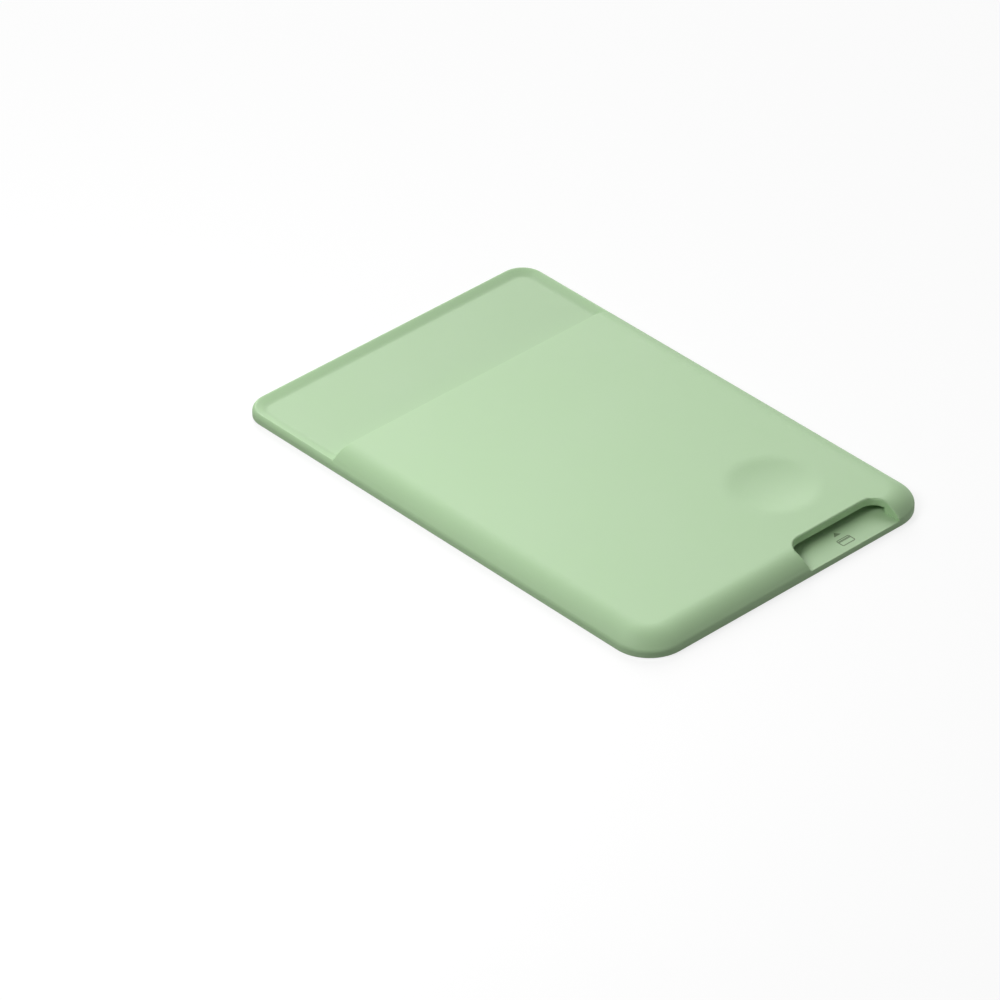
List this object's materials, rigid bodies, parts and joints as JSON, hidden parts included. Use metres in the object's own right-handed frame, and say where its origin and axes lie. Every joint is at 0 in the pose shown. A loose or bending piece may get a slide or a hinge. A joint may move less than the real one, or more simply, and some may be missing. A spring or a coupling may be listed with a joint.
{
  "type": "stick-on phone card holder",
  "caption": "Flat moulded silicone card pocket with an open tray at its mouth, a thumb notch and dimple, and an adhesive sheet on its back.",
  "frame": {"origin": "middle of the adhesive sheet's face, where the holder meets the phone", "axes": "+Y towards the mouth that takes the card, +Z away from the phone, +X towards the side that the thumb notch sits nearer"},
  "size_m": [0.064, 0.097, 0.0036],
  "materials": {
    "silicone": "matte",
    "adhesive": "satin"
  },
  "bodies": {
    "root": {"pocket_body": "silicone", "adhesive_sheet": "adhesive"}
  },
  "joints": []
}
